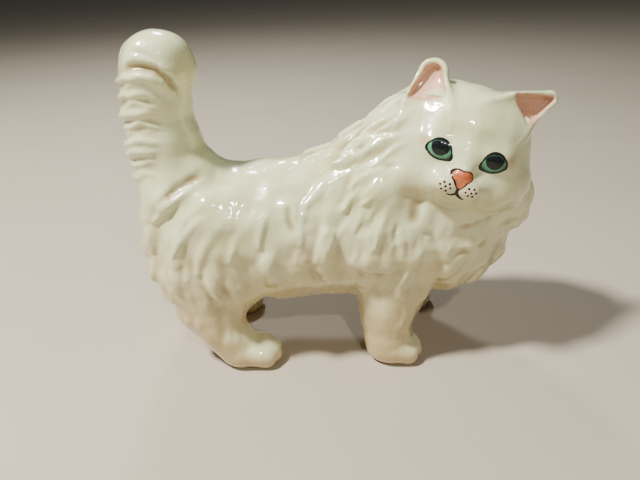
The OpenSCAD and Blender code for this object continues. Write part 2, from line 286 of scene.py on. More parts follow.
def head_limbs():
    """Skull, cheeks, eye sockets, bridge, jaw and chin, in the head's own axes"""
    parts = [limb([0, 2, 1.6], [22.2, 18.6, 18.4])]
    for side in (-1, 1):
        parts += [
            limb([side * 7, 2, 1], [16, 16, 14.6], [side * 14, 1, -9.4], [13.4, 13.2, 12.2]),
            limb([side * 9.2, -10, -3.4], [6.8, 7.5, 5.8], [side * 8, -4, -2], [9.6, 9.6, 9.6]),
            limb([side * 8, 6, 10.0], [9, 7.4, 8.8], [side * 14, 6, 9.8], [7.4, 6.0, 6.8]),
        ]
    parts.append(limb([0, -18.4, -10.6], [3.3, 3.0, 2.8], [0, -6, 5], [8.4, 9.4, 9]))
    parts.append(limb([-13, -2, -10.4], [11, 12, 10.2], [13, -2, -10.4], [11, 12, 10.2]))
    parts.append(limb([0, -14.6, -17.2], [5.4, 3.8, 3.0], [0, -4, -10], [12, 9.6, 10.6]))
    parts.append(limb([-12.5, -8.5, -16.0], [6.5, 6.2, 6.2], [11.5, -8.5, -15.6], [6.5, 6.2, 6.0]))
    return parts


def pad_limbs():
    return [limb([side * 3.9, -17.4, -14.4], [4.4, 3.8, 3.4], [side * 8.5, -7, -12], [8, 8, 7.8])
            for side in (-1, 1)]


# For each ear its root, how far it faces outwards, how far it leans outwards (degrees), and the
# distance from its root to the middle of its round tip
EAR_ROOT = {-1: ([-16.4, -6.2, 8.8], 12, 7), 1: ([12.6, -5.2, 13.3], 10, 57)}
EAR_L = {-1: 10.4, 1: 13.4}


def to_ear(points, side):
    """From the head's axes to an ear's: the ear along +Z, its hollow facing -Y"""
    root, yaw, splay = EAR_ROOT[side]
    axes = np.array(Matrix.Rotation(math.radians(side * yaw), 3, "Z")
                    @ Matrix.Rotation(math.radians(side * splay), 3, "Y")
                    @ Matrix.Rotation(math.radians(-4), 3, "X"))
    return (points - np.array(root, float)) @ axes


def head_field(points):
    """Head in its own axes: soft forms, with the whisker pads and eyes more tightly set"""
    d = blend(points, head_limbs(), 5.0)
    d = smin(d, blend(points, pad_limbs(), 1.4), 3.0)
    for side in (-1, 1):   # shallow orbit round the eye, above the cheek
        orbit = limb_distance(points, limb([side * 8.6, -20.0, 2.2], [6.4, 2.4, 2.0]))
        d = smax(d, -orbit, 4.0)
    return d


def ear_fields(points, side):
    """A cupped ear with a thick round rim, and the hollow in front of it, in the head's axes"""
    p = to_ear(points, side)
    x, y, z = p[:, 0], p[:, 1], p[:, 2]
    t = np.clip(z / EAR_L[side], -0.6, 1)
    up = np.clip(t, 0, 1)
    base, tip = (8.2, 5.2) if side < 0 else (7.5, 3.2)
    outline = np.hypot(x, z - EAR_L[side] * t) - (base - (base - tip) * up)
    cup = -0.03 * x * x + 1.2 * up
    plate = np.abs(y - cup) - (2.9 - 0.7 * up)
    hollow = smax(smax(outline + 1.0 + 1.2 * up * up, y - cup - 0.3, 1.4), 0.3 - z, 2.0)
    ear = smax(smax(outline, plate, 2.0), -hollow, 1.0)
    return np.where(outline > MARGIN, FAR, ear), hollow


def vent_field(points):
    """The vent hole in the belly"""
    x = (FEET["rear_right_leg"][0] + FEET["front_right_leg"][0]) / 2
    across = np.hypot(points[:, 0] - x, points[:, 1]) - 3.0
    return np.maximum(across, points[:, 2] - BELLY - 4)


GROUPS = ["torso", "head", "tail", "front_right_leg", "front_left_leg", "rear_right_leg", "rear_left_leg",
          "right_ear", "left_ear"]
TRUNK = trunk_limbs()
LOBES = hem_lobes()
LEGS = {name: leg_limbs(name) for name in FEET}
TAIL = tail_limbs()


def group_fields(points):
    """Distance to each piece, in the cat's frame"""
    local = to_head(points)
    fields = {"torso": smin(blend(points, TRUNK, 3.0), blend(points, LOBES, 2.0), 3.0),
              "tail": blend(points, TAIL, 3.0),
              "head": head_field(local)}
    for name, parts in LEGS.items():
        fields[name] = blend(points, parts, 2.0)
    fields["right_ear"] = ear_fields(local, -1)[0]
    fields["left_ear"] = ear_fields(local, 1)[0]
    return fields


def whole_field(points):
    """The cat's skin: pieces run smoothly into each other, with a crease under the cheeks and chin"""
    local = to_head(points)
    f = group_fields(points)
    d = smin(f["torso"], f["tail"], 9.0)
    for name in LEGS:
        d = smin(d, f[name], 7.0)
    soft = 2.0 + 11.0 * ramp(local[:, 1], 2.0, 12.0) * ramp(local[:, 2], -12.0, 4.0)
    d = smin(d, f["head"], soft)
    for name in ("right_ear", "left_ear"):
        d = smin(d, f[name], 3.6)
    d = smax(d, -vent_field(points), 1.0)
    return np.maximum(d, -points[:, 2])


# ---------------------------------------------------------------- skin mesh


def volume_quads(step):
    """Quads round the field's zero, from a grid of the given step"""
    lo = np.array(cad_box[0]) / MM - SPINE - 4
    hi = np.array(cad_box[1]) / MM - SPINE + 4
    counts = np.ceil((hi - lo) / step).astype(int) + 1
    ys = lo[1] + step * np.arange(counts[1])
    zs = lo[2] + step * np.arange(counts[2])
    values = np.empty(counts, np.float32)
    for first in range(0, counts[0], 12):
        xs = lo[0] + step * np.arange(first, min(first + 12, counts[0]))
        slab = np.stack(np.meshgrid(xs, ys, zs, indexing="ij"), -1).reshape(-1, 3)
        values[first:first + 12] = whole_field(slab).reshape(len(xs), counts[1], counts[2])
    grid = vdb.FloatGrid(3 * step)
    grid.copyFromArray(np.clip(values, -3 * step, 3 * step))
    points, quads = grid.convertToQuads(0.0)
    return points.astype(float) * step + lo, quads.astype(np.int64)


def sides_of(quads):
    """The four sides of every quad: all first sides, then all second sides, and so on"""
    return np.concatenate([quads[:, [i, (i + 1) % 4]] for i in range(4)])


def edges_of(quads):
    return np.unique(np.sort(sides_of(quads), 1), axis=0)


def relax(points, edges, amount):
    """Moves each point towards the mean of its neighbours"""
    total = np.zeros_like(points)
    count = np.bincount(edges.ravel(), minlength=len(points))[:, None]
    for axis in range(3):
        total[:, axis] = (np.bincount(edges[:, 0], points[edges[:, 1], axis], len(points))
                          + np.bincount(edges[:, 1], points[edges[:, 0], axis], len(points)))
    return points + amount * (total / np.maximum(count, 1) - points)


CORNERS = np.array([[1, -1, -1], [-1, -1, 1], [-1, 1, -1], [1, 1, 1]], float)


def settle(points, rounds):
    """Moves points onto the field's zero along its slope"""
    reach = 0.12
    for _ in range(rounds):
        values = [whole_field(points + reach * c) for c in CORNERS]
        slope = sum(v[:, None] * c for v, c in zip(values, CORNERS)) / (4 * reach)
        length = np.maximum(np.sqrt((slope ** 2).sum(1)), 0.3)
        move = np.clip(sum(values) / 4 / length, -0.8, 0.8)
        points = points - slope / length[:, None] * move[:, None]
    return points


def subdivide(points, quads):
    """Each quad becomes four"""
    unique, inverse = np.unique(np.sort(sides_of(quads), 1), axis=0, return_inverse=True)
    inverse = inverse.reshape(4, -1).T + len(points)
    centres = np.arange(len(quads)) + len(points) + len(unique)
    out = np.concatenate([points, points[unique].mean(1), points[quads].mean(1)])
    new = [np.stack([quads[:, i], inverse[:, i], centres, inverse[:, i - 1]], 1) for i in range(4)]
    return out, np.concatenate(new)


def face_normals(points, quads):
    return np.cross(points[quads[:, 2]] - points[quads[:, 0]], points[quads[:, 3]] - points[quads[:, 1]])


def vertex_normals(points, quads):
    n = face_normals(points, quads)
    total = np.zeros_like(points)
    for axis in range(3):
        total[:, axis] = np.bincount(quads.ravel(), np.repeat(n[:, axis], 4), len(points))
    return total / np.maximum(np.linalg.norm(total, axis=1), 1e-9)[:, None]


STEP, QUICK_STEP = 1.05, 1.6


def cat_skin():
    """Even quads about half a millimetre across on the cat's smooth form"""
    points, quads = volume_quads(STEP)
    if (face_normals(points, quads) * (points[quads[:, 0]] - points.mean(0))).sum() < 0:
        quads = quads[:, ::-1]
    edges = edges_of(quads)
    for _ in range(3):
        points = settle(relax(points, edges, 0.5), 1)
    points, quads = subdivide(points, quads)
    edges = edges_of(quads)
    for _ in range(2):
        points = settle(relax(points, edges, 0.5), 1)
    points = settle(points, 1)
    return points, quads, edges


# ---------------------------------------------------------------- fur relief

WAVE = 0.26      # how much a lock waves from side to side
DRAWN_IN = 0.55  # how far the skin is drawn in, so that the locks don't swell the cat

# Lie of the fur on a flank, for both sides: at x, z (mm) it runs along dx, dz
FLOW = np.array([
    (-60, 78, -.9, -.4), (-52, 72, -.85, -.5), (-66, 66, -.6, -.8), (-70, 52, -.1, -1), (-66, 40, .25, -1),
    (-56, 32, .35, -.95), (-56, 46, 0, -1), (-45, 72, -.7, -.7), (-45, 56, -.35, -.95), (-42, 42, .3, -.95),
    (-30, 74, -.6, -.8), (-30, 56, -.3, -.95), (-30, 38, .05, -1), (-15, 73, -.4, -.9), (-10, 56, -.15, -1),
    (-10, 38, 0, -1), (0, 73, -.55, -.85), (1, 62, -.35, -.95), (20, 101, -.9, -.45), (12, 92, -.95, -.35),
    (4, 84, -.9, -.45), (15, 84, -.85, -.5), (9, 77, -.65, -.75), (22, 77, -.9, -.4), (13, 70, -.6, -.8),
    (9, 60, -.1, -1), (16, 58, 0, -1), (24, 62, .2, -1), (33, 62, 0, -1), (42, 60, -.1, -1),
    (52, 64, -.2, -1), (62, 70, -.1, -1), (60, 56, -.35, -.95), (46, 46, -.3, -.95), (30, 44, -.25, -1),
    (22, 26, -.1, -1), (-50, 16, .1, -1), (34, 95, -.8, -.6), (68, 86, .1, -1)], float)


def flow_along(points):
    """Lie of the fur at points, not yet laid on the skin"""
    away = (points[:, None, [0, 2]] - FLOW[None, :, :2])
    weight = 1.0 / ((away ** 2).sum(2) + 6.0) ** 1.6
    d = (weight[:, :, None] * FLOW[None, :, 2:]).sum(1) / weight.sum(1)[:, None]
    out = np.zeros((len(points), 3))
    out[:, 0], out[:, 2] = d[:, 0], d[:, 1]
    return out


class Skin:
    """The mesh while locks are laid on it"""

    def __init__(self, points, quads, edges):
        self.points, self.quads, self.edges = points, quads, edges
        self.normals = vertex_normals(points, quads)
        self.tree = KDTree(len(points))
        for i, p in enumerate(points):
            self.tree.insert(p, i)
        self.tree.balance()
        self.height = np.zeros(len(points))
        self.groove = np.zeros(len(points))

    def trace(self, start, along, length, wave, phase, step=1.1):
        """Path on the skin from a point, following the lie of the fur with a slight wave"""
        p = np.array(start, float)
        path = [p]
        for i in range(max(int(length / step), 2)):
            index = self.tree.find(p)[1]
            n = self.normals[index]
            d = along(p[None])[0]
            d = d - n * (d @ n)
            size = np.linalg.norm(d)
            if size < 0.08:
                break
            d = d / size
            d = d + wave * math.sin(phase + i * step * 0.42) * np.cross(n, d)
            p = p + d * step
            index = self.tree.find(p)[1]
            n = self.normals[index]
            p = p - n * ((p - self.points[index]) @ n)
            path.append(p)
        return np.array(path)

    def along(self, path, reach):
        """Points near a path: their numbers, run along it from 0 to 1, and distance from it"""
        seg = path[1:] - path[:-1]
        seg_l = np.maximum(np.linalg.norm(seg, axis=1), 1e-6)
        run = np.concatenate([[0], np.cumsum(seg_l)])
        middle = (path[0] + path[-1]) / 2
        extent = np.linalg.norm(path - middle, axis=1).max() + reach
        near = np.array([i for _, i, _ in self.tree.find_range(Vector(middle), extent)], int)
        rel = self.points[near][:, None, :] - path[None, :-1, :]
        t = np.clip((rel * seg[None]).sum(2) / (seg_l ** 2)[None], 0, 1)
        dist = np.linalg.norm(rel - t[:, :, None] * seg[None], axis=2)
        best = dist.argmin(1)
        rows = np.arange(len(near))
        share = (run[best] + t[rows, best] * seg_l[best]) / run[-1]
        return near, share, dist[rows, best]

    def lay(self, target, path, width, height, soft=0.35, rise_end=0.55):
        """A lock: narrow at its root, fullest past its middle, with a rounded tip like a drip"""
        if len(path) < 3:
            return
        near, s, dist = self.along(path, width + 1)
        w = width * (0.4 + 0.6 * ramp(s, 0.0, 0.5)) * (1 - 0.3 * ramp(s, 0.7, 1.0))
        u = np.clip(dist / w, 0, 1)
        across = (1 - u ** 2) ** 1.6
        rise = ramp(s, 0.0, rise_end) * (0.5 + 0.5 * ramp(s, 0.2, 0.9))
        target[near] = smax(target[near], height * rise * across, soft)

    def score(self, path, width, depth):
        """A groove, deepest at its middle"""
        near, s, dist = self.along(path, width + 1)
        u = np.clip(dist / width, 0, 1)
        self.groove[near] = np.maximum(self.groove[near], depth * (1 - u ** 2) ** 1.6
                                       * ramp(s, 0, 0.3) * ramp(1 - s, 0, 0.3))

    def on_side(self, line, side):
        """Places on the skin for a line of x, z points seen from one side"""
        half = np.nonzero(self.points[:, 1] * side > -1.5)[0]
        flat = self.points[half][:, [0, 2]]
        facing = self.normals[half, 1] * side
        line = np.array(line, float)
        path = []
        for a, b in zip(line[:-1], line[1:]):
            steps = max(int(np.linalg.norm(b - a) / 1.6), 1)
            path += [a + (b - a) * i / steps for i in range(steps)]
        path.append(line[-1])
        spots = []
        for spot in path:
            cost = ((flat - spot) ** 2).sum(1) - 3 * np.minimum(facing, 0.5)
            spots.append(self.points[half[cost.argmin()]])
        return np.array(spots)


TRIES, MOST_LOCKS = 60000, 4000    # most places tried for locks of one size, and most locks laid


def scatter(candidates, points, spacing):
    """Points picked in a seeded random order, no two nearer than their spacing"""
    order = rng.permutation(candidates)[:TRIES]
    cells = {}
    cell = float(spacing.max())
    chosen = []
    for i in order:
        p = points[i]
        key = tuple((p // cell).astype(int))
        around = product(*((k - 1, k, k + 1) for k in key))
        near = (j for other in around for j in cells.get(other, ()))
        if all(((points[j] - p) ** 2).sum() >= spacing[i] ** 2 for j in near):
            cells.setdefault(key, []).append(i)
            chosen.append(i)
            if len(chosen) >= MOST_LOCKS:
                break
    return chosen


def body_locks(skin, owner):
    """Locks on the flanks, haunches, ruff and breast in three sizes; the back stays smooth"""
    p, n = skin.points, skin.normals
    fur = np.isin(owner, [GROUPS.index("torso")] + [GROUPS.index(name) for name in LEGS])
    fur &= (p[:, 2] > 14) & (n[:, 2] < 0.93) & (n[:, 2] > -0.7)
    ruff = ramp(p[:, 0] * 0.75 + p[:, 2], 82, 92) * ramp(p[:, 2], 66, 78)
    chest = ramp(p[:, 0], 24, 34) * ramp(-p[:, 2], -80, -70)
    upper = ramp(p[:, 2], 56, 68) * (1 - ruff) * (1 - chest)
    leg = ramp(-p[:, 2], -30, -24)
    between = ramp(-np.abs(p[:, 0] + 10), -34, -24)
    calm = (1 - 0.9 * ramp(-p[:, 2], -48, -32) * between) * (1 - 0.6 * ramp(-p[:, 2], -38, -26))
    tuft = np.exp(-((p[:, 0] - 18) ** 2 + (p[:, 2] - 73) ** 2) / 70)
    calm *= 1 - 0.8 * tuft
    plain = 1 - upper - ruff * (1 - chest) - chest
    sizes = [  # for low flank, upper flank, ruff, chest: spacing, length, half width, height
        ((10.5, 10.0, 7.0, 10.5), (25, 30, 20, 15), (4.4, 4.2, 2.9, 4.8), (2.0, 1.8, 1.6, 1.3)),
        ((7.0, 6.0, 4.4, 7.5), (18, 20, 16, 10), (2.3, 2.0, 1.6, 2.6), (0.85, 0.8, 1.05, 0.45)),
        ((4.2, 3.6, 3.0, 5.0), (11, 13, 10, 8), (1.2, 1.05, 0.95, 1.3), (0.10, 0.18, 0.30, 0.06)),
    ]
    shares = (plain, upper, ruff * (1 - chest), chest)
    total = np.zeros(len(p))
    for table in sizes:
        spacing, length, width, height = (sum(v * share for v, share in zip(row, shares)) for row in table)
        layer = np.zeros(len(p))
        for i in scatter(np.nonzero(fur)[0], p, spacing):
            top = 1 - ramp(n[i, 2], 0.30, 0.72) * (1 - ruff[i])
            h = height[i] * rng.uniform(0.7, 1.25) * top
            long = length[i] * rng.uniform(0.8, 1.15) * (1 - 0.55 * leg[i])
            if h < 0.05:
                continue
            path = skin.trace(p[i], flow_along, long, WAVE, rng.uniform(0, 6.28))
            skin.lay(layer, path, width[i] * rng.uniform(0.9, 1.15), h)
        total += layer * calm
    skin.height = np.maximum(skin.height, total)


def tail_locks(skin):
    """Ribs that rise from the tail's front edge and curve over to its wavy rear edge"""
    x0 = TAIL_LO[0]
    layer = np.zeros(len(skin.points))
    ribs = [  # height at the rear edge, how far forward the rib starts, half width, height
        (112.4, 20, 1.8, 1.7), (109.6, 19, 1.3, 0.9), (106.9, 20, 2.0, 1.9), (103.7, 19, 1.5, 1.3),
        (100.6, 17, 2.4, 2.1), (96.8, 18, 1.8, 1.7), (93.9, 15, 1.3, 0.9), (91.3, 17, 2.2, 1.8),
        (87.2, 14, 2.6, 2.0), (83.2, 15, 1.9, 1.5), (78.8, 13, 2.5, 1.4)]
    for side in (-1, 1):
        for z, reach, width, height in ribs:
            z += rng.uniform(-0.4, 0.4) if side > 0 else 0.0
            line = []
            for x in np.linspace(reach, 1.2, 9):
                drop = 0.052 * max(x - 9, 0) ** 2 + 0.035 * min(x - 9, 0) ** 2
                line.append((x0 + x, z + 1.0 - drop + 0.45 * math.sin(x * 0.7 + z)))
            path = skin.on_side(line, side)
            rear = np.array([x0 + 0.6, side * 1.5, line[-1][1] - 0.8])
            index = skin.tree.find(rear)[1]
            path = np.vstack([path, skin.points[index]])
            skin.lay(layer, path, width, height, 0.25, 0.3)
        lip = [(x0 + dx, z) for dx, z in ((3, 114.6), (7.5, 116.6), (12, 116.9), (16, 115.6), (19.5, 112.4),
                                          (21.6, 108.8), (22.4, 104.5))]
        skin.score(skin.on_side(lip, side), 2.0, 1.9)
        above = [(x0 + dx, z) for dx, z in ((6, 121.0), (11, 121.4), (16, 119.6), (20, 116.2))]
        skin.score(skin.on_side(above, side), 1.5, 0.4)
    skin.height += layer


# Locks that stand out, as x, z paths on a flank, with half width and height
HEROES = [
    ([(-44, 78), (-52, 75), (-60, 70), (-66, 63)], 3.0, 1.9),
    ([(-40, 73), (-48, 68), (-55, 60), (-59, 52)], 2.8, 1.8),
    ([(-35, 70), (-42, 63), (-48, 55), (-51, 46)], 3.0, 1.7),
    ([(-30, 66), (-36, 58), (-39, 50)], 2.6, 1.5),
    ([(-46, 50), (-43, 44), (-38, 37)], 2.0, 1.0),
    ([(-61, 52), (-62, 45), (-61, 39)], 2.0, 1.0),
    ([(-21, 72), (-26, 65), (-28, 56)], 2.6, 1.5),
    ([(-7, 74), (-12, 66), (-13, 57)], 2.4, 1.4),
    ([(1, 73), (-3, 66), (-5, 58)], 2.2, 1.4),
    ([(23, 80), (16, 78), (8, 74), (3, 68)], 2.2, 0.9),
    ([(12, 72), (9, 68), (6.5, 61)], 2.0, 0.9),
    ([(18, 67), (15, 63), (13, 56)], 1.8, 1.0),
    ([(23, 65), (20, 59), (19.5, 53)], 1.8, 1.0),
    ([(28, 65), (26.5, 59), (26.5, 53)], 1.8, 0.9),
    ([(8, 38), (14, 41), (22, 42)], 3.0, 0.9),
]
# Grooves likewise: under the ruff, beside the tuft, on the breast and above the haunch's sweep
GROOVES = [
    ([(3, 46), (9, 43.5), (16, 42.5), (24, 42)], 3.2, 0.9),
    ([(25, 84), (17, 83), (9, 80), (3, 75)], 1.6, 0.5),
    ([(30, 78), (29, 73), (28, 67), (26, 61)], 3.0, 1.0),
    ([(22, 64), (20.5, 60), (20.5, 56)], 1.2, 0.9),
    ([(10, 65), (8, 62), (7, 59)], 1.2, 0.8),
    ([(41, 60), (50, 62.5), (60, 65)], 1.8, 0.9),
    ([(41, 50), (49, 51.5), (57, 54)], 1.8, 0.9),
    ([(30, 60), (34, 58), (35, 54)], 1.6, 0.7),
    ([(-46, 80), (-50, 78.5), (-56, 75.5), (-64, 69.5)], 2.4, 1.0),
    ([(-44, 71), (-52, 65), (-58, 57)], 2.0, 0.8),
    ([(-17, 71), (-17, 65), (-15, 60)], 1.8, 0.9),
]


def hero_locks(skin):
    """The large locks and grooves that stand out, on both sides"""
    layer = np.zeros(len(skin.points))
    for side in (-1, 1):
        for line, width, height in HEROES:
            skin.lay(layer, skin.on_side(line, side), width, height, 0.25)
        for line, width, depth in GROOVES:
            skin.score(skin.on_side(line, side), width, depth)
    skin.height = smax(skin.height, layer, 0.4) + 0.35 * np.minimum(skin.height, layer)


def swell(points):
    """Slow unevenness of a hand-modelled surface"""
    a = points @ np.array([[0.34, 0.12, 0.22], [-0.19, 0.29, 0.24], [0.13, -0.23, 0.37]]).T
    return (np.sin(a[:, 0]) * np.sin(a[:, 1] + 1.3) + np.sin(a[:, 2] + 0.7) * np.sin(a[:, 1])) * 0.5


def spread(values, edges, rounds, amount=0.8):
    """Evens values out over the mesh"""
    v = values[:, None].repeat(3, 1)
    for _ in range(rounds):
        v = relax(v, edges, amount)
    return v[:, 0]


def relief(skin, owner):
    """Lays all locks, softens them as thick glaze does, and moves the skin"""
    p, n = skin.points, skin.normals
    body_locks(skin, owner)
    hero_locks(skin)
    tail_locks(skin)
    on_head = (owner == GROUPS.index("head")) | (owner >= GROUPS.index("right_ear"))
    mask = spread(np.where(on_head, 0.0, ramp(p[:, 2], 8, 18)), skin.edges, 8)
    tuft = np.exp(-((p[:, 0] - 17.5) ** 2 + (p[:, 2] - 73.5) ** 2) / 55) * (np.abs(n[:, 1]) > 0.3)
    h = (skin.height - skin.groove + 0.5 * swell(p) + 1.5 * tuft) * mask
    soft = spread(h, skin.edges, 3, 0.7)
    # How far each point lies below its surroundings, for the glaze pooling tint and the painted shade in
    # hollows
    hollow = np.clip((spread(soft, skin.edges, 50, 0.9) - soft) * 1.1 + 0.05, 0, 1) * mask
    hollow = spread(hollow, skin.edges, 4)
    moved = p + n * (soft - DRAWN_IN * mask)[:, None]
    moved = relax(moved, skin.edges, 0.25)
    moved[:, 2] = np.where(p[:, 2] < 0.02, 0.0, np.maximum(moved[:, 2], 0.0))
    return moved, hollow


# ---------------------------------------------------------------- pieces


def linked(name, data):
    obj = bpy.data.objects.new(name, data)
    bpy.context.scene.collection.objects.link(obj)
    return obj


def new_object(name, points, faces, node, material, normals=None, marks=None):
    """A mesh object from points in mm in the cat's frame, riding and standing in for its CAD node"""
    mesh = bpy.data.meshes.new(name)
    mesh.from_pydata(((points + SPINE) * MM).tolist(), [], [list(map(int, f)) for f in faces])
    mesh.validate()
    mesh.polygons.foreach_set("use_smooth", [True] * len(mesh.polygons))
    for key, values in (marks or {}).items():
        mesh.attributes.new(key, "FLOAT", "POINT").data.foreach_set("value", values.astype(np.float32))
    if normals is not None:
        mesh.normals_split_custom_set_from_vertices(normals.tolist())
    mesh.materials.append(material)
    obj = linked(name, mesh)
    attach(obj, "root")
    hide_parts(node)


def owners(points, quads):
    """Which piece each quad belongs to: the one whose own form is nearest, with islands cleaned away"""
    middles = points[quads].mean(1)
    f = group_fields(middles)
    stack = np.stack([f[name] for name in GROUPS], 1)
    stack[:, GROUPS.index("torso")] -= 0.2
    label = stack.argmin(1)
    high = middles[:, 2] > 60
    leg_ids = [GROUPS.index(name) for name in LEGS]
    label[np.isin(label, leg_ids) & high] = 0
    # Neighbours across an edge, then majority votes, then every small island joins its surroundings
    key = np.sort(sides_of(quads), 1)
    key = key[:, 0] * len(points) + key[:, 1]
    face = np.tile(np.arange(len(quads)), 4)
    order = key.argsort(kind="stable")
    same = key[order][1:] == key[order][:-1]
    a, b = face[order][:-1][same], face[order][1:][same]

    def votes_of(sure):
        votes = np.zeros((len(quads), len(GROUPS)))
        for one, other in ((a, b), (b, a)):
            np.add.at(votes, (one[sure[other]], label[other[sure[other]]]), 1)
        return votes

    for _ in range(6):
        votes = votes_of(np.ones(len(quads), bool))
        votes[np.arange(len(quads)), label] += 1.5
        label = votes.argmax(1)
    for _ in range(8):
        island = np.arange(len(quads))
        inside = label[a] == label[b]
        ia, ib = a[inside], b[inside]
        while True:
            low = np.minimum(island[ia], island[ib])
            before = island.copy()
            np.minimum.at(island, ia, low)
            np.minimum.at(island, ib, low)
            island = island[island]
            if (island == before).all():
                break
        names, sizes = np.unique(island, return_counts=True)
        size_of = dict(zip(names.tolist(), sizes.tolist()))
        biggest = {}
        for name in names.tolist():
            g = int(label[name])
            if g not in biggest or size_of[name] > size_of[biggest[g]]:
                biggest[g] = name
        keep = np.isin(island, list(biggest.values()))
        if keep.all():
            break
        votes = votes_of(keep)
        lost = ~keep & (votes.sum(1) > 0)
        label[lost] = votes[lost].argmax(1)
    return label


def seam_loops(quads):
    """Closed loops of edges that have a face on one side only"""
    e = sides_of(quads)
    big = int(quads.max()) + 1
    there = set((e[:, 0] * big + e[:, 1]).tolist())
    out = {}
    for s, t in e.tolist():
        if t * big + s not in there:
            out.setdefault(s, []).append(t)
    loops = []
    while out:
        start = next(iter(out))
        loop = [start]
        current = start
        while True:
            follow = out.get(current)
            if not follow:
                break
            nxt = follow.pop()
            if not follow:
                del out[current]
            if nxt == start:
                break
            loop.append(nxt)
            current = nxt
        if len(loop) > 2:
            loops.append(loop)
    return loops


def split_pieces(points, quads, label, normals, marks, material):
    """One closed solid for each cast piece; a dished cap closes each seat"""
    for g, name in enumerate(GROUPS):
        own = quads[label == g]
        used = np.unique(own)
        index = np.full(len(points), -1)
        index[used] = np.arange(len(used))
        p = points[used]
        n = normals[used]
        values = {key: v[used] for key, v in marks.items()}
        faces = index[own].tolist()
        inside = p.mean(0)
        dish = 0.02 if name == "torso" else 0.05
        for loop in seam_loops(own):
            ring = index[np.array(loop)]
            middle = p[ring].mean(0)
            p = np.vstack([p, middle + (inside - middle) * dish])
            n = np.vstack([n, [0, 0, 1]])
            values = {key: np.append(v, 0.0) for key, v in values.items()}
            faces += [[int(t), int(s), len(p) - 1] for s, t in zip(ring, np.roll(ring, -1))]
        new_object("cat_" + name, p, faces, name, material, n, values)


# ---------------------------------------------------------------- enamel on the face

SINK = 0.25    # how deep enamel and ear colour go below the skin


class Face:
    """The finished head skin, for laying enamel on it along the head's own Y"""

    def __init__(self, points, quads, label):
        head = quads[label == GROUPS.index("head")]
        local = to_head(points)
        front = head[local[head].mean(1)[:, 1] < 2]
        tris = np.concatenate([front[:, [0, 1, 2]], front[:, [0, 2, 3]]])
        self.tree = BVHTree.FromPolygons(local.tolist(), tris.tolist())
        self.field = lambda q: whole_field(from_head(q))

    def drop(self, flat):
        """Where points given in the head's X and Z meet the skin, and the skin's normals there"""
        spots = np.zeros((len(flat), 3))
        for i, (x, z) in enumerate(flat):
            hit = self.tree.ray_cast(Vector((x, -40.0, z)), Vector((0, 1, 0)))[0]
            spots[i] = hit if hit is not None else (x, -18.0, z)
        reach = 0.15
        values = [self.field(spots + reach * c) for c in CORNERS]
        slope = sum(v[:, None] * c for v, c in zip(values, CORNERS))
        slope /= np.maximum(np.linalg.norm(slope, axis=1), 1e-9)[:, None]
        return spots, slope


def curve(t, before, start, end, after):
    """Point at t, from 0 to 1, on a smooth curve from start to end"""
    m1, m2 = (end - before) / 2, (after - start) / 2
    return ((2 * t ** 3 - 3 * t ** 2 + 1) * start + (t ** 3 - 2 * t ** 2 + t) * m1
            + (-2 * t ** 3 + 3 * t ** 2) * end + (t ** 3 - t ** 2) * m2)


def smooth_ring(corners, count):
    """A closed smooth curve through corners (degrees, distance), as distances at even angles"""
    corners = sorted((a % 360.0, r) for a, r in corners)
    angles = np.array([a for a, _ in corners])
    radii = np.array([r for _, r in corners])
    angles = np.concatenate([angles[-2:] - 360, angles, angles[:2] + 360])
    radii = np.concatenate([radii[-2:], radii, radii[:2]])
    at = np.arange(count) * 360.0 / count
    k = np.searchsorted(angles, at, side="right") - 1
    t = (at - angles[k]) / (angles[k + 1] - angles[k])
    return curve(t, radii[k - 1], radii[k], radii[k + 1], radii[np.minimum(k + 2, len(radii) - 1)])


def shell(lid, count):
    """Faces of a closed sheet: its lid, the same on the copies below it, and the wall round its edge"""
    sides = dict.fromkeys((f[i - 1], f[i]) for f in lid for i in range(len(f)))
    under = [[i + count for i in reversed(f)] for f in lid]
    wall = [[t, s, s + count, t + count] for s, t in sides if (t, s) not in sides]
    return lid + under + wall


def enamel_sheet(face, flat, faces, rim, proud, name, node, slot, material, marks=None):
    """A thin closed solid of enamel on the face. rim holds 0 on edge points and 1 well inside."""
    spots, normals = face.drop(flat)
    up = spots + normals * (0.01 + proud * np.sqrt(np.clip(rim, 0, 1)))[:, None]
    world = from_head(np.vstack([up, spots - normals * SINK]))
    turned = np.vstack([normals, -normals]) @ HEAD_AXES.T
    values = {key: np.concatenate([v, v]) for key, v in (marks or {}).items()}
    new_object(name, world, shell(faces, len(flat)), node, material, turned, values)


def ring_sheet(inner, outer, centre, rows):
    """Quads between two closed curves given as distances at even angles; inner may be None for a disc"""
    count = len(outer)
    angle = np.arange(count) * 2 * math.pi / count
    unit = np.stack([np.cos(angle), np.sin(angle)], 1)
    low = np.zeros(count) if inner is None else inner
    flat, rim = [], []
    steps = [i / rows for i in range(1 if inner is None else 0, rows + 1)]
    for t in steps:
        flat.append(unit * (low + t * (outer - low))[:, None])
        width = np.maximum(outer - low, 1e-6)
        edge = (1 - t) * width if inner is None else np.minimum(t, 1 - t) * width
        rim.append(np.clip(edge / 0.35, 0, 1))
    flat, rim = np.concatenate(flat), np.concatenate(rim)
    faces = []
    for row in range(0, len(flat) - count, count):
        for i in range(count):
            a, b = row + i, row + (i + 1) % count
            faces.append([a, b, b + count, a + count])
    if inner is None:
        faces += [[len(flat), (i + 1) % count, i] for i in range(count)]
        flat = np.vstack([flat, [0, 0]])
        rim = np.append(rim, 1.0)
    return flat + centre, faces, rim


# Outline of an eye round its pupil's middle: outwards is +x, up is +z (mm)
EYE_CORNERS = [(4.9, -1.6), (3.4, 1.3), (0.6, 2.75), (-2.4, 1.8), (-4.0, -0.8), (-4.6, -3.6), (-2.0, -4.5),
               (1.3, -4.3), (3.7, -2.95)]
PUPIL_R = 3.1
EYE_X, EYE_Z = 9.1, -3.1      # middle of an eye in the head's own axes
PAD_X, PAD_Z = 4.3, -15.0     # and of the dots on a whisker pad


